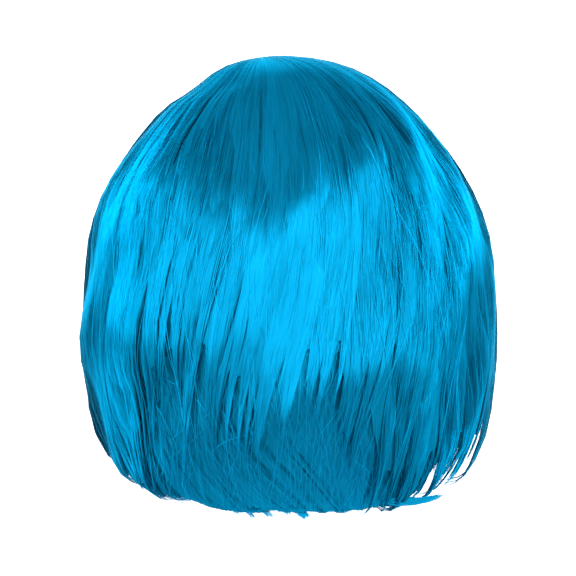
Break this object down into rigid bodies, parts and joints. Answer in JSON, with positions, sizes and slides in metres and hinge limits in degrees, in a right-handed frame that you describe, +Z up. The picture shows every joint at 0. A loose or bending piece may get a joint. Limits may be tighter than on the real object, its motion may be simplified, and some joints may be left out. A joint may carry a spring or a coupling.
{
  "type": "costume wig",
  "caption": "Chin-length straight bob costume wig: layered hair wefts on a stretch-net cap, with bendable ear tabs and hooked nape adjusters.",
  "frame": {"origin": "the point where the top of the wearer's head meets the inside of the cap", "axes": "+Z up, the wearer faces -Y, the wearer's left is +X"},
  "size_m": [0.2352, 0.2392, 0.2496],
  "materials": {
    "outer_hair": "glossy straight synthetic fibre",
    "under_hair": "glossy straight synthetic fibre, shaded",
    "net": "open stretch net",
    "lining": "woven satin",
    "elastic": "ribbed elastic",
    "weft": "machine-stitched weft",
    "tab": "padded fabric",
    "stay": "bare spring strip",
    "hook": "moulded"
  },
  "bodies": {
    "cap_and_hair": {"adjuster_loops_left": "elastic", "adjuster_loops_right": "elastic", "adjuster_strap_left": "elastic", "adjuster_strap_right": "elastic", "back_hair": "under_hair", "back_weft_1": "weft", "back_weft_2": "weft", "back_weft_3": "weft", "back_weft_4": "weft", "back_weft_5": "weft", "back_weft_6": "weft", "back_weft_7": "weft", "cap_net": "net", "crown_hair_back": "outer_hair", "crown_hair_left": "outer_hair", "crown_hair_right": "outer_hair", "crown_patch": "lining", "crown_weft_1": "weft", "crown_weft_2": "weft", "fringe_hair": "outer_hair", "fringe_weft_1": "weft", "fringe_weft_2": "weft", "front_band": "lining", "nape_band": "elastic", "nape_hair": "under_hair", "ribbon_centre": "elastic", "ribbon_left": "elastic", "ribbon_right": "elastic", "side_hair_left": "under_hair", "side_hair_right": "under_hair", "temple_hair_left": "under_hair", "temple_hair_right": "under_hair", "temple_weft_left": "weft", "temple_weft_right": "weft"},
    "left_adjuster": {"adjuster_hook_left": "hook"},
    "right_adjuster": {"adjuster_hook_right": "hook"},
    "left_ear_tab": {"ear_tab_left": "tab", "ear_stay_left": "stay"},
    "right_ear_tab": {"ear_tab_right": "tab", "ear_stay_right": "stay"}
  },
  "joints": [
    {"name": "left_adjuster_slide", "type": "slide", "parent": "cap_and_hair", "child": "left_adjuster", "axis": [-0.6776, 0.4782, -0.5587], "range_m": [0, 0.024]},
    {"name": "right_adjuster_slide", "type": "slide", "parent": "cap_and_hair", "child": "right_adjuster", "axis": [0.6776, 0.4782, -0.5587], "range_m": [0, 0.024]},
    {"name": "left_ear_tab_bend", "type": "hinge", "parent": "cap_and_hair", "child": "left_ear_tab", "pos_m": [0.06852, -0.03823, -0.0952], "axis": [0.3347, 0.9423, 0], "range_deg": [-15, 25]},
    {"name": "right_ear_tab_bend", "type": "hinge", "parent": "cap_and_hair", "child": "right_ear_tab", "pos_m": [-0.06852, -0.03823, -0.0952], "axis": [0.3347, -0.9423, 0], "range_deg": [-15, 25]}
  ]
}
